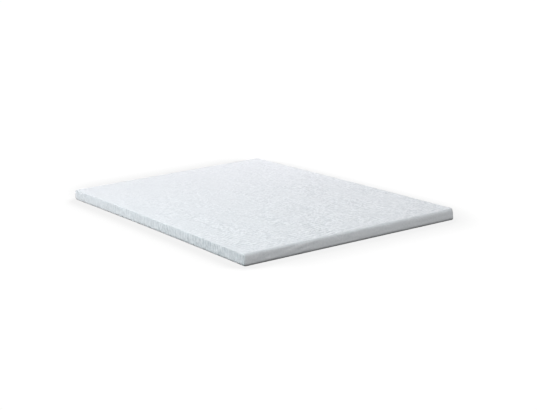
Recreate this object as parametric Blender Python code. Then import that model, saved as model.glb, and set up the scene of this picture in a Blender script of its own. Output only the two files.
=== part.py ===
"""A foam mattress topper for a 140 x 200 cm bed, about 7 cm thick, lying flat.

It is one filled body: a knitted cover drawn over a foam slab. The rims along the two long
sides are crisp, the rims at the two ends are softer, the walls draw in towards the top, the
base edge curls under to a flat foot, the top is slightly crowned, and both long sides bow a
little the same way, as a soft slab lies.

Units are metres. X runs across the width, Y along the length and Z up. The origin is the
bottom centre, on the surface that the topper lies on.
"""

import math

import bmesh
import bpy
from mathutils import Vector

# Driving sizes
WIDTH = 1.400
LENGTH = 2.000
WALL_HEIGHT = 0.067
CROWN_RISE = 0.003  # how much higher the middle of the top is than its rims
SIDE_BOW = 0.008  # how far the middle of each long side lies towards +X of its ends
CORNER_RADIUS = 0.020  # of the four upright corners, seen from above
LONG_RIM_RADIUS = 0.005  # top rims along the two long sides
END_RIM_RADIUS = 0.013  # top rims across the two ends
CURL_RADIUS = 0.018  # where the walls turn under to the foot
LONG_DRAW_IN = 0.0025  # how much each long wall is drawn in at the top
END_DRAW_IN = 0.006  # how much each end wall is drawn in at the top
END_WALL_CURVE = 1.8  # power of the end walls' draw-in: 1 is straight, more is rounded

# The cage: closely spaced cuts at the edges, even spans between
RIM_BAND = 0.008  # width of cage on either side of a rim that becomes its rounding
CURL_BAND = 0.026  # height of cage above the base that becomes the curl
EDGE_STEPS = 3
SPANS_ACROSS = 8
SPANS_ALONG = 12
SPANS_UP = 2
ON_A_CUT = 1e-6  # a point this near to a cut counts as on it

# The cover's finish
CLOTH_COLOUR = (0.80, 0.84, 0.88, 1.0)
CLOTH_ROUGHNESS = 0.9


def clear_scene():
    """Removes every object, so the scene holds the topper alone."""
    for thing in list(bpy.data.objects):
        bpy.data.objects.remove(thing, do_unlink=True)


def cover_cloth():
    """The pale, matt knitted cloth of the cover."""
    material = bpy.data.materials.new("cover_cloth")
    material.use_nodes = True
    surface = material.node_tree.nodes["Principled BSDF"]
    surface.inputs["Base Color"].default_value = CLOTH_COLOUR
    surface.inputs["Roughness"].default_value = CLOTH_ROUGHNESS
    surface.inputs["Metallic"].default_value = 0.0
    return material


def edge_cuts(edge, band):
    """Places of the cuts beside an edge, which become its rounding, out to the band's end."""
    return [edge + band * step / EDGE_STEPS for step in range(1, EDGE_STEPS + 1)]


def even_cuts(low, high, spans):
    """Places of the cuts that share a stretch out into equal spans, both ends included."""
    return [low + (high - low) * step / spans for step in range(spans + 1)]


def plan_cuts(size, spans):
    """All the cuts across one direction of the plan."""
    inner = size / 2 - CORNER_RADIUS
    edges = edge_cuts(-size / 2, RIM_BAND) + edge_cuts(size / 2, -RIM_BAND)
    return edges + even_cuts(-inner, inner, spans)


def height_cuts():
    """All the level cuts through the walls."""
    walls = even_cuts(CURL_BAND, WALL_HEIGHT - RIM_BAND, SPANS_UP)
    return edge_cuts(0.0, CURL_BAND) + walls[1:-1] + edge_cuts(WALL_HEIGHT, -RIM_BAND)


def box_cage():
    """A plain box of the topper's size, cut into a cage along X, Y and Z."""
    cage = bmesh.new()
    bmesh.ops.create_cube(cage, size=1.0)
    bmesh.ops.translate(cage, verts=cage.verts, vec=(0.0, 0.0, 0.5))
    bmesh.ops.scale(cage, verts=cage.verts, vec=(WIDTH, LENGTH, WALL_HEIGHT))
    cuts = (
        (Vector((1, 0, 0)), plan_cuts(WIDTH, SPANS_ACROSS)),
        (Vector((0, 1, 0)), plan_cuts(LENGTH, SPANS_ALONG)),
        (Vector((0, 0, 1)), height_cuts()),
    )
    for direction, places in cuts:
        for place in places:
            bmesh.ops.bisect_plane(
                cage,
                geom=cage.verts[:] + cage.edges[:] + cage.faces[:],
                dist=ON_A_CUT,
                plane_co=direction * place,
                plane_no=direction,
            )
    return cage


def round_corners(x, y):
    """Takes a point of the square-cornered plan to the plan with round corners.

    Returns the point, how far in from the outline it lies, and the way out to the outline
    there. A square ring of the cage round a corner's centre becomes a round ring.
    """
    core_x = WIDTH / 2 - CORNER_RADIUS
    core_y = LENGTH / 2 - CORNER_RADIUS
    past = Vector((max(abs(x) - core_x, 0.0), max(abs(y) - core_y, 0.0)))
    inset = min(WIDTH / 2 - abs(x), LENGTH / 2 - abs(y))
    if past.length == 0.0:
        return Vector((x, y)), inset, Vector((0.0, 0.0))
    out = past.normalized()
    ring = max(past)
    point = Vector((min(abs(x), core_x), min(abs(y), core_y))) + out * ring
    side = Vector((math.copysign(1.0, x), math.copysign(1.0, y)))
    return point * side, inset, out * side


def turn_edges(inset, height, out):
    """Rounds the rim and the base edge of the wall's upright section.

    Takes a point of the square section, as its distance in from the wall and its height, and
    returns the same two for the rounded section.
    """
    rim_radius = LONG_RIM_RADIUS * out.x**2 + END_RIM_RADIUS * out.y**2
    edges = ((WALL_HEIGHT, -1, RIM_BAND, rim_radius), (0.0, 1, CURL_BAND, CURL_RADIUS))
    for level, inward, band, radius in edges:
        depth = abs(height - level)
        if inset <= RIM_BAND + ON_A_CUT and depth <= band + ON_A_CUT:
            turned = (1 + depth / band - inset / RIM_BAND) * math.pi / 4
            inset = radius * (1 - math.sin(turned))
            return inset, level + inward * radius * (1 - math.cos(turned))
        if depth <= ON_A_CUT and inset < CORNER_RADIUS:
            beside = (inset - RIM_BAND) / (CORNER_RADIUS - RIM_BAND)
            return radius + beside * (CORNER_RADIUS - radius), height
    if inset <= ON_A_CUT:
        up_wall = (height - CURL_BAND) / (WALL_HEIGHT - RIM_BAND - CURL_BAND)
        height = CURL_RADIUS + up_wall * (WALL_HEIGHT - rim_radius - CURL_RADIUS)
    return inset, height


def settle(corner):
    """Takes a point of the box cage to its place on the topper."""
    point, inset, out = round_corners(corner.x, corner.y)
    turned_inset, height = turn_edges(inset, corner.z, out)
    point += out * (inset - turned_inset)
    rise = max(height - CURL_RADIUS, 0.0) / (WALL_HEIGHT - CURL_RADIUS)
    across = point.x / (WIDTH / 2)
    along = point.y / (LENGTH / 2)
    crown = CROWN_RISE * (1 - across**2) * (1 - along**2) * height / WALL_HEIGHT
    point.x += SIDE_BOW * (0.5 - along**2) - across * LONG_DRAW_IN * rise
    point.y -= along * END_DRAW_IN * rise**END_WALL_CURVE
    return Vector((point.x, point.y, height + crown))


def topper():
    """The topper as one closed, smooth-shaded body."""
    cage = box_cage()
    for vertex in cage.verts:
        vertex.co = settle(vertex.co)
    bmesh.ops.recalc_face_normals(cage, faces=cage.faces)
    mesh = bpy.data.meshes.new("topper")
    cage.to_mesh(mesh)
    cage.free()
    mesh.shade_smooth()
    mesh.materials.append(cover_cloth())
    return bpy.data.objects.new("topper", mesh)


def main():
    """Builds the topper in its own collection."""
    clear_scene()
    collection = bpy.data.collections.new("mattress_topper")
    bpy.context.scene.collection.children.link(collection)
    collection.objects.link(topper())


main()
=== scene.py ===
"""Looks of a foam mattress topper in a crinkled knitted cover, lying flat on a pale studio floor.

The cover is one closed skin of cloth. It follows the slab's form, with crisp rims along the two
long sides, softer rims across the two ends, walls that draw in towards the top and a base edge
that curls under. The crinkle of the knit is in its mesh, and the stitches are in its material.

Units are metres. X runs across the width, Y along the length and Z up, from the middle of the base.
"""

import logging
import math
from dataclasses import dataclass, field
from enum import Enum

import bmesh
import bpy
import numpy as np
from mathutils import Matrix, Vector


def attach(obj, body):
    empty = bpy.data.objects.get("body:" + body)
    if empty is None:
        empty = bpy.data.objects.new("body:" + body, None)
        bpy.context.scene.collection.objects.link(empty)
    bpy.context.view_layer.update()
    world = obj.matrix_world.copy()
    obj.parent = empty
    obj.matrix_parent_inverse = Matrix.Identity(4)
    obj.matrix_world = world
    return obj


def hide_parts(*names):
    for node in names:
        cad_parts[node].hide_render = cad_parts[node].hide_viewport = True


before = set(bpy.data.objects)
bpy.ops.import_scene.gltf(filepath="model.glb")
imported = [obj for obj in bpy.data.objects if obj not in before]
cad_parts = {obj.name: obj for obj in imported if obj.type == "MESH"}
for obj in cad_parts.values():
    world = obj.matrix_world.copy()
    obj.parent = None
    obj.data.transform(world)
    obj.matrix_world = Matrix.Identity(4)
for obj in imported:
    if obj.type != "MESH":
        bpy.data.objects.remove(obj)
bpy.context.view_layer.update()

LOG = logging.getLogger("topper")
CLOTH_MAP = "cloth"
# The relief that the cloth's colour follows, less the painted shade at the foot.
RELIEF_AND_FOOT_SHADE = "relief"
LIVELINESS = "liveliness"
ON_A_LINE = 1e-7  # a point this near to a line of the plain box counts as on it
QUAD = 4  # corners of a face of the skin


class Facing(Enum):
    """Which part of the cover a face of cloth belongs to."""

    TOP = 0
    END_WALL = 1
    LONG_WALL = 2


def shares(count: int) -> np.ndarray:
    """The shares 1/count, 2/count, ... 1 of a stretch."""
    return np.arange(1, count + 1) / count


@dataclass(frozen=True)
class ValueNoise:
    """Smooth noise from -1 to 1 over flat cloth, drawn from a seeded table that repeats.

    Attributes:
        seed: Seed of the table.
        across: Size of one cell across the cloth.
        along: Size of one cell along the cloth.
        cells: Cells in the table each way before it repeats.
    """

    seed: int
    across: float
    along: float
    cells: int = 61

    def at(self, u: np.ndarray, v: np.ndarray) -> np.ndarray:
        """Reads the noise at places on the cloth.

        Args:
            u: Places across the cloth.
            v: Places along the cloth.

        Returns:
            The noise at each place.
        """
        table = np.random.default_rng(self.seed).uniform(-1, 1, (self.cells, self.cells))
        column, row = u / self.across, v / self.along
        left, low = np.floor(column).astype(int), np.floor(row).astype(int)
        a, b = self.ease(column - left), self.ease(row - low)
        near = table[left % self.cells, low % self.cells] * (1 - a)
        near += table[(left + 1) % self.cells, low % self.cells] * a
        far = table[left % self.cells, (low + 1) % self.cells] * (1 - a)
        far += table[(left + 1) % self.cells, (low + 1) % self.cells] * a
        return near * (1 - b) + far * b

    @staticmethod
    def ease(t: np.ndarray) -> np.ndarray:
        """Eases a share of a cell by 6t^5 - 15t^4 + 10t^3, so that no crease shows at its edges."""
        return t * t * t * (t * (t * 6 - 15) + 10)


@dataclass(frozen=True)
class SlabForm:
    """The topper's form, as a plain box whose points are taken to their real places.

    Attributes:
        width: Across the widest line of the walls.
        length: Along the widest line of the walls.
        wall_height: Height of the rims.
        crown_rise: How much higher the middle of the top is than the rims.
        side_bow: How far the middle of each long side lies towards +X of its ends.
        corner_radius: Radius of the upright corners, seen from above.
        long_rim_radius: Radius of the top rims along the two long sides.
        end_rim_radius: Radius of the top rims across the two ends.
        curl_radius: Radius where the left wall and the end walls turn under to the foot.
        right_curl_radius: Radius where the right wall turns under, crisper than the others.
        near_corner_crisp: How far the top of the near left corner stands out past its rounding.
        long_draw_in: How much each long wall is drawn in at the top.
        end_draw_in: How much each end wall is drawn in at the top.
        end_wall_curve: Power of the end walls' draw-in, 1 for straight and more for rounded.
        rim_band: Width of box on either side of a rim that becomes its rounding.
        curl_band: Height of box above the base that becomes the curl.
    """

    width: float = 1.400
    length: float = 2.000
    wall_height: float = 0.067
    crown_rise: float = 0.003
    side_bow: float = 0.008
    corner_radius: float = 0.020
    long_rim_radius: float = 0.005
    end_rim_radius: float = 0.013
    curl_radius: float = 0.018
    right_curl_radius: float = 0.007
    near_corner_crisp: float = 0.0022
    long_draw_in: float = 0.0025
    end_draw_in: float = 0.006
    end_wall_curve: float = 1.8
    rim_band: float = 0.008
    curl_band: float = 0.026

    @property
    def core(self) -> tuple[float, float]:
        """Half the width and length of the plan inside its round corners."""
        return self.width / 2 - self.corner_radius, self.length / 2 - self.corner_radius

    def inset(self, x: np.ndarray, y: np.ndarray) -> np.ndarray:
        """How far in from the nearest wall places on the box lie."""
        return np.minimum(self.width / 2 - np.abs(x), self.length / 2 - np.abs(y))

    def bow(self, along: np.ndarray | float) -> np.ndarray | float:
        """How far the bow moves places from -1 to 1 along the topper: half of it either way."""
        return self.side_bow * (0.5 - along**2)

    def outward(self, x: np.ndarray, y: np.ndarray) -> tuple[np.ndarray, np.ndarray]:
        """The way out to the outline, seen from above.

        Args:
            x: Places across the box.
            y: Places along the box.

        Returns:
            Across and along parts of a unit direction, both 0 well inside the outline.
        """
        core_x, core_y = self.core
        past_x = np.maximum(np.abs(x) - core_x, 0)
        past_y = np.maximum(np.abs(y) - core_y, 0)
        reach = np.hypot(past_x, past_y)
        reach[reach == 0] = 1
        return np.copysign(past_x, x) / reach, np.copysign(past_y, y) / reach

    def round_corners(self, x: np.ndarray, y: np.ndarray) -> tuple[np.ndarray, np.ndarray]:
        """Takes a square-cornered plan to the plan with round corners.

        Args:
            x: Places across the box.
            y: Places along the box.

        Returns:
            The same places on the rounded plan.
        """
        core_x, core_y = self.core
        ring = np.maximum(np.maximum(np.abs(x) - core_x, np.abs(y) - core_y), 0)
        out_x, out_y = self.outward(x, y)
        return np.clip(x, -core_x, core_x) + out_x * ring, np.clip(y, -core_y, core_y) + out_y * ring

    def turn_edges(
        self, inset: np.ndarray, height: np.ndarray, rim: np.ndarray, curl: np.ndarray
    ) -> tuple[np.ndarray, np.ndarray]:
        """Rounds the rim and the base edge of the wall's upright section.

        Args:
            inset: Distance in from the wall, in the square section.
            height: Height in the square section.
            rim: Radius of the rim there.
            curl: Radius of the curl there.

        Returns:
            Distance in from the wall, and height, in the rounded section.
        """
        band, low, top = self.rim_band, self.curl_band, self.wall_height
        depth = top - height
        turned = (1 + (depth - inset) / band) * math.pi / 4
        curled = np.clip(height / low, 0, 1) * math.pi / 2
        beside = rim + (inset - band) / (self.corner_radius - band) * (self.corner_radius - rim)
        upright = curl + (height - low) / (top - band - low) * (top - rim - curl)
        on_rim = np.maximum(inset, depth) <= band + ON_A_LINE
        zones = [on_rim, inset >= self.corner_radius, inset > 0, height <= low + ON_A_LINE]
        insets = [rim * (1 - np.sin(turned)), inset, beside, curl * (1 - np.sin(curled))]
        heights = [top - rim * (1 - np.cos(turned)), height, height, curl * (1 - np.cos(curled))]
        return np.select(zones, insets, 0.0), np.select(zones, heights, upright)

    def crisp_corner(self, out_x: np.ndarray, out_y: np.ndarray, inset: np.ndarray) -> np.ndarray:
        """How far the near left corner stands out past its rounding at the height of the rims.

        Args:
            out_x: Across part of the way out to the outline.
            out_y: Along part of the way out to the outline.
            inset: Distance in from the wall.

        Returns:
            The distance at each place, 0 away from that corner.
        """
        near_corner = 2 * np.clip(-out_x, 0, 1) * np.clip(-out_y, 0, 1)
        return self.near_corner_crisp * near_corner**2 * np.clip(1 - inset / self.corner_radius, 0, 1)

    def settle(self, box: np.ndarray) -> np.ndarray:
        """Takes points of the plain box to their places on the topper.

        Args:
            box: Points on the box, one row each.

        Returns:
            The points on the topper, one row each.
        """
        x, y, z = box.T
        inset = self.inset(x, y)
        inset[inset < ON_A_LINE] = 0
        out_x, out_y = self.outward(x, y)
        rim = self.long_rim_radius * out_x**2 + self.end_rim_radius * out_y**2
        on_right = np.clip(out_x, 0, 1) ** 2
        curl = self.curl_radius + (self.right_curl_radius - self.curl_radius) * on_right
        turned_inset, height = self.turn_edges(inset, z, rim, curl)
        x, y = self.round_corners(x, y)
        x = x + out_x * (inset - turned_inset)
        y = y + out_y * (inset - turned_inset)
        across, along = x / (self.width / 2), y / (self.length / 2)
        crown = self.crown_rise * (1 - across**2) * (1 - along**2) * height / self.wall_height
        rise = np.clip((height - self.curl_radius) / (self.wall_height - self.curl_radius), 0, 1)
        crisp = self.crisp_corner(out_x, out_y, inset) * rise
        x, y = x + out_x * crisp, y + out_y * crisp
        x = x - across * self.long_draw_in * rise + self.bow(along)
        y = y - along * self.end_draw_in * rise**self.end_wall_curve
        return np.stack([x, y, height + crown], axis=1)


@dataclass(frozen=True)
class Whorl:
    """A place where the ridges of the knit curl round, like a whorl in wood.

    Attributes:
        across: Its middle across the cloth.
        along: Its middle along the cloth.
        reach: How far out it bends the ridges.
        pitches: How far it carries the ridge at its middle, in pitches.
    """

    across: float
    along: float
    reach: float
    pitches: float

    def bend(self, u: np.ndarray, v: np.ndarray) -> np.ndarray:
        """How far it carries the ridges at places on the cloth, in pitches.

        Args:
            u: Places across the cloth.
            v: Places along the cloth.

        Returns:
            The bend at each place.
        """
        away = ((u - self.across) ** 2 + (v - self.along) ** 2) / self.reach**2
        return self.pitches * np.exp(-away / 2)


@dataclass(frozen=True)
class Gain:
    """Liveliness of one part of the cover, which rises or falls evenly over the cloth.

    Attributes:
        level: Liveliness at the middle of the cloth.
        across: Its gain for each metre across, as a share of the level.
        along: Its gain for each metre along, as a share of the level.
    """

    level: float
    across: float
    along: float

    def at(self, u: np.ndarray, v: np.ndarray) -> np.ndarray:
        """The liveliness at places across and along the cloth."""
        return self.level * (1 + self.across * u + self.along * v)


@dataclass(frozen=True)
class Crinkle:
    """The raised crinkle of the knit: wavy ridges across the width, broken into short dashes.

    Attributes:
        height: Height of a ridge over a crease where the liveliness is 1.
        pitch: Distance from ridge to ridge, along the length.
        sway: Noise that turns the ridges in slow bends.
        sway_pitches: How far the slow bends carry a ridge, in pitches.
        wobble: Noise that adds the short bends.
        wobble_pitches: How far the short bends carry a ridge, in pitches.
        mean_ridge: Mean of the ridges, taken off so that creases sink in as ridges stand out.
        dash: Noise that breaks the ridges into dashes.
        dash_level: Height of the ridges where that noise is 0.
        dash_swing: How much higher or lower the dashes make them.
        patch: Noise that makes whole patches of cloth livelier or calmer.
        patch_level: Liveliness where that noise is 0.
        patch_swing: How much livelier or calmer the patches are.
        pucker: Noise of the puckers between the ridges.
        pucker_share: Height of the puckers as a share of a ridge's.
        whorls: Where the ridges curl round.
        top_gain: Liveliness of the top.
        long_wall_gain: Liveliness of the two long walls, where the ridges run down as ribs.
        end_wall_gain: Liveliness of the two end walls, where the cloth is pulled smooth.
        end_wall_stretch: How many times longer the dashes are on the two end walls.
        rim_calm: Share of the relief that is left on the rims, where the cloth is pulled tight.
        rim_reach_in: How far in over the top the rims calm the relief.
        rim_reach_down: How far down the walls the rims calm the relief.
        side_foot_painted_shade: How far the painted shade darkens the foot of the long walls, in the relief's
            terms.
        end_foot_painted_shade: How far the painted shade darkens the foot of the end walls.
    """

    height: float = 0.0024
    pitch: float = 0.027
    sway: ValueNoise = ValueNoise(seed=11, across=0.26, along=0.55)
    sway_pitches: float = 1.3
    wobble: ValueNoise = ValueNoise(seed=12, across=0.050, along=0.090)
    wobble_pitches: float = 0.34
    mean_ridge: float = 1.27
    dash: ValueNoise = ValueNoise(seed=13, across=0.020, along=0.034)
    dash_level: float = 0.6
    dash_swing: float = 0.8
    patch: ValueNoise = ValueNoise(seed=15, across=0.10, along=0.15)
    patch_level: float = 0.75
    patch_swing: float = 0.45
    pucker: ValueNoise = ValueNoise(seed=14, across=0.015, along=0.018)
    pucker_share: float = 0.8
    whorls: tuple[Whorl, ...] = (
        Whorl(across=0.46, along=-0.76, reach=0.065, pitches=4.0),
        Whorl(across=0.58, along=-0.55, reach=0.085, pitches=-4.0),
    )
    top_gain: Gain = Gain(level=1.15, across=0.30, along=-0.55)
    long_wall_gain: Gain = Gain(level=1.45, across=0.0, along=-0.30)
    end_wall_gain: Gain = Gain(level=0.60, across=-0.50, along=0.0)
    end_wall_stretch: float = 3.0
    rim_calm: float = 0.25
    rim_reach_in: float = 0.025
    rim_reach_down: float = 0.010
    side_foot_painted_shade: float = 0.2
    end_foot_painted_shade: float = 6.0

    def patches(self, u: np.ndarray, v: np.ndarray) -> np.ndarray:
        """How lively the patches are at places on the cloth, as a share of their part's gain."""
        return self.patch_level + self.patch_swing * self.patch.at(u, v)

    def relief(self, u: np.ndarray, v: np.ndarray) -> np.ndarray:
        """Relief of the cloth at places on it, from about -1 in a crease to 1 on a ridge.

        Args:
            u: Places across the cloth.
            v: Places along the cloth.

        Returns:
            The relief at each place.
        """
        bends = self.sway_pitches * self.sway.at(u, v) + self.wobble_pitches * self.wobble.at(u, v)
        bends += sum(whorl.bend(u, v) for whorl in self.whorls)
        ridge = 2 * np.abs(np.sin(math.pi * (v / self.pitch + bends))) - self.mean_ridge
        dashes = self.dash_level + self.dash_swing * self.dash.at(u, v)
        return ridge * dashes + self.pucker_share * self.pucker.at(u, v)


@dataclass(frozen=True)
class KnitFinish:
    """The cover's knitted cloth: pale, cool and matt, with stitches, fine puckers and a soft sheen.

    Attributes:
        name: Name of the material.
        pale: Colour of the cloth where it is lightest, on the ridges, where it carries painted light.
        painted_shade_colour: Colour of the cloth in the creases and at the foot, where it carries painted
            shade.
        roughness: Roughness of the yarn.
        sheen: Weight of the soft sheen of the loose fibres.
        sheen_roughness: Roughness of that sheen.
        specular: Level of the yarn's own gloss.
        crease: Relief at which the cloth shows its painted shade in full.
        ridge: Relief at which the cloth shows its pale colour, its painted light, in full.
        stitch_pitch: Distance from stitch to stitch.
        stitch_depth: Depth of the stitches for the bump.
        stitch_waver: How unevenly the rows of stitches run.
        grain: Size across and along of the fine puckers that are too small for the mesh.
        grain_depth: Depth of those puckers for the bump.
        grain_painted_shade: Relief that their full range stands for in the colour, as painted shade and
            light.
        detail: Steps of finer detail in the puckers and the stitches.
    """

    name: str = "cover_cloth"
    pale: tuple[float, float, float, float] = (0.810, 0.845, 0.880, 1.0)
    painted_shade_colour: tuple[float, float, float, float] = (0.600, 0.640, 0.677, 1.0)
    roughness: float = 0.85
    sheen: float = 0.15
    sheen_roughness: float = 0.5
    specular: float = 0.3
    crease: float = -1.5
    ridge: float = 1.5
    stitch_pitch: float = 0.0026
    stitch_depth: float = 0.0003
    stitch_waver: float = 2.0
    grain: tuple[float, float] = (0.012, 0.013)
    grain_depth: float = 0.0012
    grain_painted_shade: float = 4.0
    detail: float = 1.0

    def puckers(self, tree: bpy.types.NodeTree, cloth: bpy.types.NodeSocket) -> bpy.types.NodeSocket:
        """Lays the fine puckers out over the cloth.

        Args:
            tree: The cloth's node tree.
            cloth: Places on the flat cloth.

        Returns:
            The puckers, from 0 to 1.
        """
        stretch = tree.nodes.new("ShaderNodeMapping")
        stretch.inputs["Scale"].default_value = (1 / self.grain[0], 1 / self.grain[1], 1.0)
        tree.links.new(cloth, stretch.inputs["Vector"])
        puckers = tree.nodes.new("ShaderNodeTexNoise")
        puckers.inputs["Scale"].default_value = 1.0
        puckers.inputs["Detail"].default_value = self.detail
        tree.links.new(stretch.outputs["Vector"], puckers.inputs["Vector"])
        return puckers.outputs["Fac"]

    @staticmethod
    def mesh_value(tree: bpy.types.NodeTree, name: str) -> bpy.types.NodeSocket:
        """Reads a value that the mesh keeps at its points.

        Args:
            tree: The cloth's node tree.
            name: The value's name.

        Returns:
            The value.
        """
        value = tree.nodes.new("ShaderNodeAttribute")
        value.attribute_type = "GEOMETRY"
        value.attribute_name = name
        return value.outputs["Fac"]

    def shade(self, tree: bpy.types.NodeTree, puckers: bpy.types.NodeSocket) -> bpy.types.NodeSocket:
        """Works out the cloth's colour: painted shade in creases and at the foot, painted light on ridges.

        Args:
            tree: The cloth's node tree.
            puckers: The fine puckers.

        Returns:
            The colour.
        """
        # Painted shade: the colour follows the same puckers as the coarse bump, darker in their hollows.
        grain = tree.nodes.new("ShaderNodeMapRange")
        grain.clamp = False
        grain.inputs["To Min"].default_value = -self.grain_painted_shade / 2
        grain.inputs["To Max"].default_value = self.grain_painted_shade / 2
        tree.links.new(puckers, grain.inputs["Value"])
        lifted = tree.nodes.new("ShaderNodeMath")
        lifted.operation = "MULTIPLY_ADD"
        tree.links.new(grain.outputs["Result"], lifted.inputs[0])
        tree.links.new(self.mesh_value(tree, LIVELINESS), lifted.inputs[1])
        tree.links.new(self.mesh_value(tree, RELIEF_AND_FOOT_SHADE), lifted.inputs[2])
        # Painted shade and light: the lower the relief and the puckers, the deeper the shade; the higher, the
        # paler.
        tone = tree.nodes.new("ShaderNodeMapRange")
        tone.inputs["From Min"].default_value = self.crease
        tone.inputs["From Max"].default_value = self.ridge
        tree.links.new(lifted.outputs["Value"], tone.inputs["Value"])
        colour = tree.nodes.new("ShaderNodeMix")
        colour.data_type = "RGBA"
        colour.inputs["A"].default_value = self.painted_shade_colour
        colour.inputs["B"].default_value = self.pale
        tree.links.new(tone.outputs["Result"], colour.inputs["Factor"])
        return colour.outputs["Result"]

    def stitches(self, tree: bpy.types.NodeTree, cloth: bpy.types.NodeSocket) -> bpy.types.NodeSocket:
        """Lays the rows of stitches out over the cloth.

        Args:
            tree: The cloth's node tree.
            cloth: Places on the flat cloth.

        Returns:
            The stitches, from 0 to 1.
        """
        stitches = tree.nodes.new("ShaderNodeTexWave")
        stitches.wave_type = "BANDS"
        stitches.bands_direction = "X"
        # At a scale of 1, one wave of this texture is close to 1/pi long.
        stitches.inputs["Scale"].default_value = 1 / (math.pi * self.stitch_pitch)
        stitches.inputs["Distortion"].default_value = self.stitch_waver
        stitches.inputs["Detail"].default_value = self.detail
        tree.links.new(cloth, stitches.inputs["Vector"])
        return stitches.outputs["Fac"]

    def material(self) -> bpy.types.Material:
        """Builds the node material, laid out on the cloth's own flat map.

        Returns:
            The material.
        """
        material = bpy.data.materials.new(self.name)
        material.use_nodes = True
        tree = material.node_tree
        surface = tree.nodes["Principled BSDF"]
        surface.inputs["Roughness"].default_value = self.roughness
        surface.inputs["Sheen Weight"].default_value = self.sheen
        surface.inputs["Sheen Roughness"].default_value = self.sheen_roughness
        surface.inputs["Specular IOR Level"].default_value = self.specular
        cloth = tree.nodes.new("ShaderNodeUVMap")
        cloth.uv_map = CLOTH_MAP
        puckers = self.puckers(tree, cloth.outputs["UV"])
        tree.links.new(self.shade(tree, puckers), surface.inputs["Base Color"])
        fine = tree.nodes.new("ShaderNodeBump")
        fine.inputs["Distance"].default_value = self.stitch_depth
        tree.links.new(self.stitches(tree, cloth.outputs["UV"]), fine.inputs["Height"])
        coarse = tree.nodes.new("ShaderNodeBump")
        coarse.inputs["Distance"].default_value = self.grain_depth
        tree.links.new(puckers, coarse.inputs["Height"])
        tree.links.new(fine.outputs["Normal"], coarse.inputs["Normal"])
        tree.links.new(coarse.outputs["Normal"], surface.inputs["Normal"])
        return material


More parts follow.
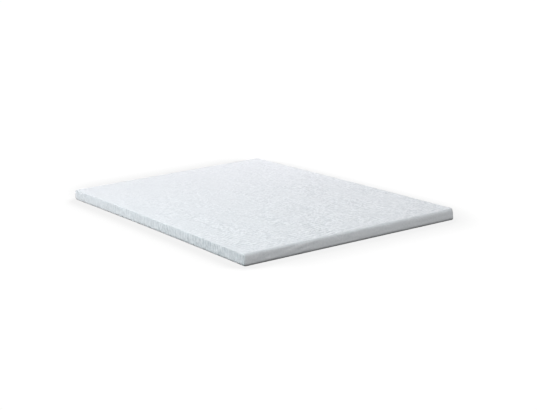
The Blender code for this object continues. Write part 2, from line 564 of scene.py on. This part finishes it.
@dataclass
class Cover:
    """The knitted cover over the foam slab, as one closed skin.

    Attributes:
        form: The slab that it is drawn over.
        crinkle: The relief of the knit.
        finish: The cloth.
        cell_across: Size across of one cell of the mesh on the top.
        cell_along: Size along of one cell of the mesh on the top.
        edge_steps: Rows of mesh in half of a rim.
        curl_steps: Rows of mesh in the base curl.
        wall_steps: Rows of mesh in the straight of the walls.
        foot_gap: Least width of the strip that joins the foot to the base's coarser squares.
        base_cell: Size of one square of the mesh on the base.
    """

    form: SlabForm = field(default_factory=SlabForm)
    crinkle: Crinkle = field(default_factory=Crinkle)
    finish: KnitFinish = field(default_factory=KnitFinish)
    cell_across: float = 0.0070
    cell_along: float = 0.0055
    edge_steps: int = 4
    curl_steps: int = 6
    wall_steps: int = 6
    foot_gap: float = 0.030
    base_cell: float = 0.045

    def plan_lines(self, size: float, cell: float) -> np.ndarray:
        """Places of the mesh's lines across one direction of the plan.

        Args:
            size: The plan's size in that direction.
            cell: Distance from line to line.

        Returns:
            The places, in order.
        """
        half = size / 2
        inner = half - self.form.rim_band
        edge = half - self.form.rim_band * np.append(0, shares(self.edge_steps)[:-1])
        middle = np.linspace(-inner, inner, round(2 * inner / cell) + 1)
        return np.concatenate([-edge, middle, edge[::-1]])

    def levels(self) -> np.ndarray:
        """Works out the mesh's rings below the rim's own line.

        Returns:
            Their heights, from the top down.
        """
        band, low, top = self.form.rim_band, self.form.curl_band, self.form.wall_height
        rim = top - band * shares(self.edge_steps)
        wall = top - band - (top - band - low) * shares(self.wall_steps)
        curl = low * (1 - shares(self.curl_steps))
        return np.concatenate([rim, wall, curl])

    def box_skin(self) -> tuple[np.ndarray, list[tuple[int, ...]], list[Facing], list[int]]:
        """The top and walls of the plain box, as a mesh.

        Returns:
            The points, the faces, what each face belongs to, and the points of the foot.
        """
        xs = self.plan_lines(self.form.width, self.cell_across)
        ys = self.plan_lines(self.form.length, self.cell_along)
        nx, ny = len(xs), len(ys)
        grid_x, grid_y = np.meshgrid(xs, ys, indexing="ij")
        top = np.stack([grid_x.ravel(), grid_y.ravel(), np.full(nx * ny, self.form.wall_height)], axis=1)
        index = np.arange(nx * ny).reshape(nx, ny)
        quads = np.stack([index[:-1, :-1], index[1:, :-1], index[1:, 1:], index[:-1, 1:]], axis=-1)
        faces = [tuple(q) for q in quads.reshape(-1, QUAD).tolist()]
        facing = [Facing.TOP] * len(faces)
        # The ring runs along the near end, the right side, the far end and the left side.
        ring = np.concatenate([index[:-1, 0], index[-1, :-1], index[:0:-1, -1], index[0, :0:-1]])
        walls = (Facing.END_WALL, Facing.LONG_WALL, Facing.END_WALL, Facing.LONG_WALL)
        wall_of = [wall for wall, cells in zip(walls, (nx - 1, ny - 1) * 2) for _ in range(cells)]
        points, upper = [top], ring
        for level in self.levels():
            lower = np.arange(len(ring)) + sum(len(p) for p in points)
            points.append(np.column_stack([top[ring, :2], np.full(len(ring), level)]))
            band = np.stack([lower, np.roll(lower, -1), np.roll(upper, -1), upper], axis=-1)
            faces += [tuple(q) for q in band.tolist()]
            facing += wall_of
            upper = lower
        return np.concatenate(points), faces, facing, upper.tolist()

    def cloth_places(self, box: np.ndarray, facing: Facing) -> tuple[np.ndarray, np.ndarray]:
        """Places on the flat cloth of points of the box, as seen on one part of the cover.

        Args:
            box: Points on the box.
            facing: The part of the cover.

        Returns:
            Places across and along the cloth.
        """
        drop = self.form.wall_height - box[:, 2]
        x, y = box[:, 0], box[:, 1]
        if facing is Facing.END_WALL:
            return x, y + np.copysign(drop, y)
        if facing is Facing.LONG_WALL:
            return x + np.copysign(drop, x), y
        return x, y

    def wall_shares(self, box: np.ndarray) -> tuple[np.ndarray, np.ndarray]:
        """How far points of the box belong to the ends and to the walls.

        Args:
            box: Points on the box.

        Returns:
            From 0 on a long side to 1 on an end, and from 0 on the top to 1 on a wall.
        """
        _, out_y = self.form.outward(box[:, 0], box[:, 1])
        drop = self.form.wall_height - box[:, 2]
        return out_y**2, np.clip(drop / self.form.rim_band, 0, 1)

    def liveliness(self, box: np.ndarray, on_end: np.ndarray, on_wall: np.ndarray) -> np.ndarray:
        """How lively the crinkle is at points of the box.

        Args:
            box: Points on the box.
            on_end: From 0 on a long side to 1 on an end.
            on_wall: From 0 on the top to 1 on a wall.

        Returns:
            The liveliness at each point.
        """
        crinkle = self.crinkle
        u, v = self.cloth_places(box, Facing.LONG_WALL)
        lively = crinkle.top_gain.at(u, v) * (1 - on_wall)
        lively += crinkle.long_wall_gain.at(u, v) * ((1 - on_end) * on_wall)
        patches = crinkle.patches(u, v)
        u, v = self.cloth_places(box, Facing.END_WALL)
        lively = (lively + crinkle.end_wall_gain.at(u, v) * (on_end * on_wall)) * patches
        drop, inset = self.form.wall_height - box[:, 2], self.form.inset(box[:, 0], box[:, 1])
        clear = np.clip(np.maximum(inset / crinkle.rim_reach_in, drop / crinkle.rim_reach_down), 0, 1)
        return lively * (crinkle.rim_calm + (1 - crinkle.rim_calm) * clear)

    def even_relief(self, box: np.ndarray, end_share: np.ndarray) -> np.ndarray:
        """The crinkle's relief at points of the box, as lively everywhere.

        Args:
            box: Points on the box.
            end_share: How far each point belongs to an end wall.

        Returns:
            The relief at each point.
        """
        over_side = self.crinkle.relief(*self.cloth_places(box, Facing.LONG_WALL))
        u, v = self.cloth_places(box, Facing.END_WALL)
        over_end = self.crinkle.relief(u / self.crinkle.end_wall_stretch, v)
        return over_side * (1 - end_share) + over_end * end_share

    def raise_crinkle(self, mesh: bpy.types.Mesh, box: np.ndarray) -> None:
        """Moves the mesh's points out and in by the crinkle, and keeps it for the material.

        What it keeps is lowered towards the foot, as painted shade.

        Args:
            mesh: The settled mesh.
            box: The same points on the plain box.
        """
        place, normal = np.empty(box.size), np.empty(box.size)
        mesh.vertices.foreach_get("co", place)
        mesh.vertex_normals.foreach_get("vector", normal)
        place, normal = place.reshape(box.shape), normal.reshape(box.shape)
        on_end, on_wall = self.wall_shares(box)
        lively = self.liveliness(box, on_end, on_wall)
        clear_of_foot = np.clip(box[:, 2] / self.form.curl_band, 0, 1)
        relief = self.even_relief(box, on_end * on_wall) * lively * clear_of_foot
        place = place + normal * (relief * self.crinkle.height / 2)[:, None]
        place[:, 2] = np.maximum(place[:, 2], 0)
        mesh.vertices.foreach_set("co", place.ravel())
        # Painted shade at the foot: the relief kept for the colour is lowered towards the foot, so the cloth
        # darkens there.
        foot_painted_shade = self.crinkle.side_foot_painted_shade * (1 - on_end) + self.crinkle.end_foot_painted_shade * on_end
        relief -= foot_painted_shade * (1 - clear_of_foot)
        mesh.attributes.new(RELIEF_AND_FOOT_SHADE, "FLOAT", "POINT").data.foreach_set("value", relief)
        mesh.attributes.new(LIVELINESS, "FLOAT", "POINT").data.foreach_set("value", lively)

    def lay_base(self, shell: bmesh.types.BMesh) -> list[bmesh.types.BMFace]:
        """Lays the flat base inside the foot, in coarser squares than the top.

        Args:
            shell: The skin being built.

        Returns:
            The faces of the base.
        """
        inset = self.form.curl_radius + self.foot_gap
        wide, long = self.form.width - 2 * inset, self.form.length - 2 * inset
        # A square of 1 by 1, which is then scaled to the base.
        made = bmesh.ops.create_grid(
            shell,
            x_segments=round(wide / self.base_cell),
            y_segments=round(long / self.base_cell),
            size=0.5,
        )["verts"]
        bmesh.ops.scale(shell, verts=made, vec=(wide, long, 1))
        for vertex in made:
            vertex.co.x += self.form.bow(vertex.co.y / (self.form.length / 2))
        faces = list({f for v in made for f in v.link_faces})
        bmesh.ops.reverse_faces(shell, faces=faces)
        return faces

    def close_base(self, mesh: bpy.types.Mesh, foot: list[int]) -> None:
        """Closes the skin with the flat base.

        Args:
            mesh: The open skin.
            foot: The points of its open edge.
        """
        shell = bmesh.new()
        shell.from_mesh(mesh)
        on_foot = set(foot)
        rim = [e for e in shell.edges if e.is_boundary and {v.index for v in e.verts} <= on_foot]
        faces = self.lay_base(shell)
        border = [e for f in faces for e in f.edges if e.is_boundary]
        joined = bmesh.ops.bridge_loops(shell, edges=rim + border)["faces"]
        layer = shell.loops.layers.uv[CLOTH_MAP]
        for face in faces + joined:
            face.smooth = True
            for corner in face.loops:
                corner[layer].uv = corner.vert.co.xy
        bmesh.ops.recalc_face_normals(shell, faces=shell.faces)
        shell.to_mesh(mesh)
        shell.free()

    def lay_cloth_map(self, mesh: bpy.types.Mesh, box: np.ndarray, facing: list[Facing]) -> None:
        """Gives every corner of every face its place on the flat cloth, in metres.

        Args:
            mesh: The open skin.
            box: Its points on the plain box.
            facing: What each face belongs to.
        """
        corners = np.empty(len(mesh.loops), np.int32)
        mesh.loops.foreach_get("vertex_index", corners)
        part = np.repeat([f.value for f in facing], QUAD)
        uv = np.zeros((len(corners), 2))
        for side in Facing:
            here = part == side.value
            uv[here] = np.column_stack(self.cloth_places(box[corners[here]], side))
        layer = mesh.uv_layers.new(name=CLOTH_MAP)
        layer.uv.foreach_set("vector", uv.ravel())

    def build(self) -> bpy.types.Object:
        """Returns:
            The cover.
        """
        box, faces, facing, foot = self.box_skin()
        mesh = bpy.data.meshes.new("topper_cover")
        mesh.from_pydata(self.form.settle(box).tolist(), [], faces)
        self.lay_cloth_map(mesh, box, facing)
        self.raise_crinkle(mesh, box)
        self.close_base(mesh, foot)
        mesh.shade_smooth()
        mesh.materials.append(self.finish.material())
        cover = bpy.data.objects.new("topper_cover", mesh)
        bpy.context.scene.collection.objects.link(cover)
        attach(cover, "root")
        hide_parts("topper")
        return cover


@dataclass(frozen=True)
class SoftLight:
    """One broad studio light.

    Attributes:
        name: Name of the light.
        place: Where it hangs.
        size: Its width and height.
        power: Its power in watts.
        colour: Its colour.
        aim: The point that it faces.
    """

    name: str
    place: tuple[float, float, float]
    size: tuple[float, float]
    power: float
    colour: tuple[float, float, float]
    aim: tuple[float, float, float] = (0.0, 0.0, 0.0)

    def hang(self) -> None:
        """Hangs the light."""
        lamp = bpy.data.lights.new(self.name, "AREA")
        lamp.shape = "RECTANGLE"
        lamp.size, lamp.size_y = self.size
        lamp.energy = self.power
        lamp.color = self.colour
        light = bpy.data.objects.new(self.name, lamp)
        toward = Vector(self.aim) - Vector(self.place)
        light.location = self.place
        light.rotation_euler = toward.to_track_quat("-Z", "Y").to_euler()
        light.visible_camera = False
        bpy.context.scene.collection.objects.link(light)


@dataclass
class Studio:
    """The pale floor and backdrop, the soft lights and the camera.

    Attributes:
        floor_half: Half the floor's size.
        floor_drop: How far the floor lies below the base.
        white: Colour of the backdrop beyond the floor's edge.
        floor_white: Brightness of the clear floor, which glows as a light table does, and of the backdrop.
        floor_shade: Brightness of the floor close to the topper, where its glow carries a painted shadow.
        shade_reach: How far the topper shades the floor.
        shade_from: Openness of the floor at which the shade is full.
        shade_to: Openness of the floor at which the shade ends.
        halo_middle: Middle of the wider, fainter shade, which lies towards the back.
        halo_half: Half the width and length of its core.
        halo_reach: How far across and along its rounded edge lies beyond the core.
        halo_from: Distance from the core, in reaches, at which it begins to fade.
        halo_to: Distance from the core, in reaches, at which it ends.
        lights: The soft lights.
        eye: Where the camera stands.
        yaw: The camera's turn to the right of +Y, in degrees.
        pitch: How far it looks down, in degrees.
        roll: How far it leans, in degrees.
        lens: Its focal length in millimetres.
        sensor: Width of its sensor in millimetres.
        shift: How far the picture is taken to the right of the lens's axis, in picture widths.
        sight: How far it sees.
    """

    floor_half: float = 60.0
    floor_drop: float = 0.0003
    white: tuple[float, float, float, float] = (1.0, 1.0, 1.0, 1.0)
    floor_white: float = 1.02
    floor_shade: float = 0.885
    shade_reach: float = 0.30
    shade_from: float = 0.82
    shade_to: float = 0.97
    halo_middle: tuple[float, float] = (0.107, 0.121)
    halo_half: tuple[float, float] = (0.490, 0.677)
    halo_reach: tuple[float, float] = (0.203, 0.372)
    halo_from: float = 1.0
    halo_to: float = 2.0
    lights: tuple[SoftLight, ...] = (
        SoftLight(
            name="left_light",
            place=(-4.12, 0.10, 2.38),
            size=(2.0, 2.0),
            power=140.0,
            colour=(0.90, 0.994, 1.0),
        ),
        SoftLight(
            name="front_light",
            place=(0.0, -7.28, 5.59),
            size=(3.9, 3.9),
            power=490.0,
            colour=(1.0, 0.985, 0.969),
        ),
        SoftLight(
            name="back_left_light",
            place=(-3.95, 3.95, 2.03),
            size=(2.5, 2.5),
            power=155.0,
            colour=(1.0, 0.885, 0.870),
        ),
        SoftLight(
            name="back_right_light",
            place=(2.17, 2.17, 2.57),
            size=(2.0, 2.0),
            power=92.0,
            colour=(1.0, 0.951, 0.969),
        ),
    )
    eye: tuple[float, float, float] = (-3.8628, -6.0276, 1.7634)
    yaw: float = 30.096
    pitch: float = 13.516
    roll: float = -3.173
    lens: float = 82.388
    sensor: float = 36.0
    shift: float = 0.13
    sight: float = 200.0

    def fade(
        self, tree: bpy.types.NodeTree, value: bpy.types.NodeSocket, start: float, end: float
    ) -> bpy.types.NodeSocket:
        """Fades the floor from its shade to its clear white.

        Args:
            tree: The floor's node tree.
            value: The value that the fade follows.
            start: Its value where the shade is full.
            end: Its value where the floor is clear.

        Returns:
            The floor's brightness.
        """
        shade = tree.nodes.new("ShaderNodeMapRange")
        shade.interpolation_type = "SMOOTHSTEP"
        shade.inputs["From Min"].default_value = start
        shade.inputs["From Max"].default_value = end
        shade.inputs["To Min"].default_value = self.floor_shade
        shade.inputs["To Max"].default_value = self.floor_white
        tree.links.new(value, shade.inputs["Value"])
        return shade.outputs["Result"]

    def from_halo(self, tree: bpy.types.NodeTree) -> bpy.types.NodeSocket:
        """Measures how far the floor lies from the core of the fainter shade.

        Args:
            tree: The floor's node tree.

        Returns:
            The distance, in reaches.
        """
        place = tree.nodes.new("ShaderNodeTexCoord")
        beyond = place.outputs["Object"]
        steps = (
            ("SUBTRACT", (*self.halo_middle, 0.0)),
            ("ABSOLUTE", (0.0, 0.0, 0.0)),
            ("SUBTRACT", (*self.halo_half, 0.0)),
            ("MAXIMUM", (0.0, 0.0, 0.0)),
            ("DIVIDE", (*self.halo_reach, 1.0)),
            ("MULTIPLY", (1.0, 1.0, 0.0)),
        )
        for operation, by in steps:
            step = tree.nodes.new("ShaderNodeVectorMath")
            step.operation = operation
            step.inputs[1].default_value = by
            tree.links.new(beyond, step.inputs[0])
            beyond = step.outputs["Vector"]
        length = tree.nodes.new("ShaderNodeVectorMath")
        length.operation = "LENGTH"
        tree.links.new(beyond, length.inputs[0])
        return length.outputs["Value"]

    def floor_material(self) -> bpy.types.Material:
        """Builds the floor's material, which glows evenly, with a soft painted shadow round the topper.

        Returns:
            The material.
        """
        material = bpy.data.materials.new("studio_floor")
        material.use_nodes = True
        tree = material.node_tree
        tree.nodes.clear()
        # Painted shadow: the glow dims where ambient occlusion finds the topper near, and in the wider,
        # fainter halo of shade.
        openness = tree.nodes.new("ShaderNodeAmbientOcclusion")
        openness.inputs["Distance"].default_value = self.shade_reach
        shade = self.fade(tree, openness.outputs["AO"], self.shade_from, self.shade_to)
        halo = self.fade(tree, self.from_halo(tree), self.halo_from, self.halo_to)
        darker = tree.nodes.new("ShaderNodeMath")
        darker.operation = "MINIMUM"
        glow = tree.nodes.new("ShaderNodeEmission")
        output = tree.nodes.new("ShaderNodeOutputMaterial")
        tree.links.new(shade, darker.inputs[0])
        tree.links.new(halo, darker.inputs[1])
        tree.links.new(darker.outputs["Value"], glow.inputs["Strength"])
        tree.links.new(glow.outputs["Emission"], output.inputs["Surface"])
        return material

    def lay_floor(self) -> None:
        """Lays the floor, whose glow reaches the cloth through its faint gloss alone."""
        sheet = bmesh.new()
        bmesh.ops.create_grid(sheet, x_segments=1, y_segments=1, size=self.floor_half)
        bmesh.ops.translate(sheet, verts=sheet.verts, vec=(0, 0, -self.floor_drop))
        mesh = bpy.data.meshes.new("studio_floor")
        sheet.to_mesh(mesh)
        sheet.free()
        mesh.materials.append(self.floor_material())
        floor = bpy.data.objects.new("studio_floor", mesh)
        floor.visible_diffuse = False
        bpy.context.scene.collection.objects.link(floor)

    def set_camera(self) -> None:
        """Sets the camera at the picture's angle."""
        yaw, pitch, roll = (math.radians(a) for a in (self.yaw, self.pitch, self.roll))
        ahead = Vector((math.sin(yaw) * math.cos(pitch), math.cos(yaw) * math.cos(pitch), -math.sin(pitch)))
        level = Vector((math.cos(yaw), -math.sin(yaw), 0))
        upright = level.cross(ahead)
        right = level * math.cos(roll) + upright * math.sin(roll)
        up = upright * math.cos(roll) - level * math.sin(roll)
        lens = bpy.data.cameras.new("camera")
        lens.sensor_fit = "HORIZONTAL"
        lens.sensor_width = self.sensor
        lens.lens = self.lens
        lens.shift_x = self.shift
        lens.clip_end = self.sight
        camera = bpy.data.objects.new("camera", lens)
        camera.matrix_world = Matrix.Translation(self.eye) @ Matrix((right, up, -ahead)).transposed().to_4x4()
        bpy.context.scene.collection.objects.link(camera)
        bpy.context.scene.camera = camera

    def clear_backdrop(self) -> None:
        """Carries the floor's clear white on beyond its edge, where it lights nothing."""
        world = bpy.data.worlds.new("studio")
        bpy.context.scene.world = world
        world.use_nodes = True
        background = world.node_tree.nodes["Background"]
        background.inputs["Color"].default_value = self.white
        background.inputs["Strength"].default_value = self.floor_white
        world.cycles_visibility.diffuse = False
        world.cycles_visibility.glossy = False

    def set_tones(self) -> None:
        """Sets how the picture's tones are shown."""
        settings = bpy.context.scene.view_settings
        settings.view_transform = "Standard"
        settings.look = "None"

    def build(self) -> None:
        """Builds the studio."""
        self.lay_floor()
        self.set_camera()
        self.clear_backdrop()
        for light in self.lights:
            light.hang()
        self.set_tones()


def main() -> None:
    """Builds the studio and the cover, and reports each piece."""
    logging.basicConfig(level=logging.INFO, format="%(name)s: %(message)s")
    Studio().build()
    LOG.info("studio: floor, lights and camera set")
    cover = Cover().build()
    LOG.info("%s: %d points, %d faces", cover.name, len(cover.data.vertices), len(cover.data.polygons))


if __name__ == "__main__":
    main()
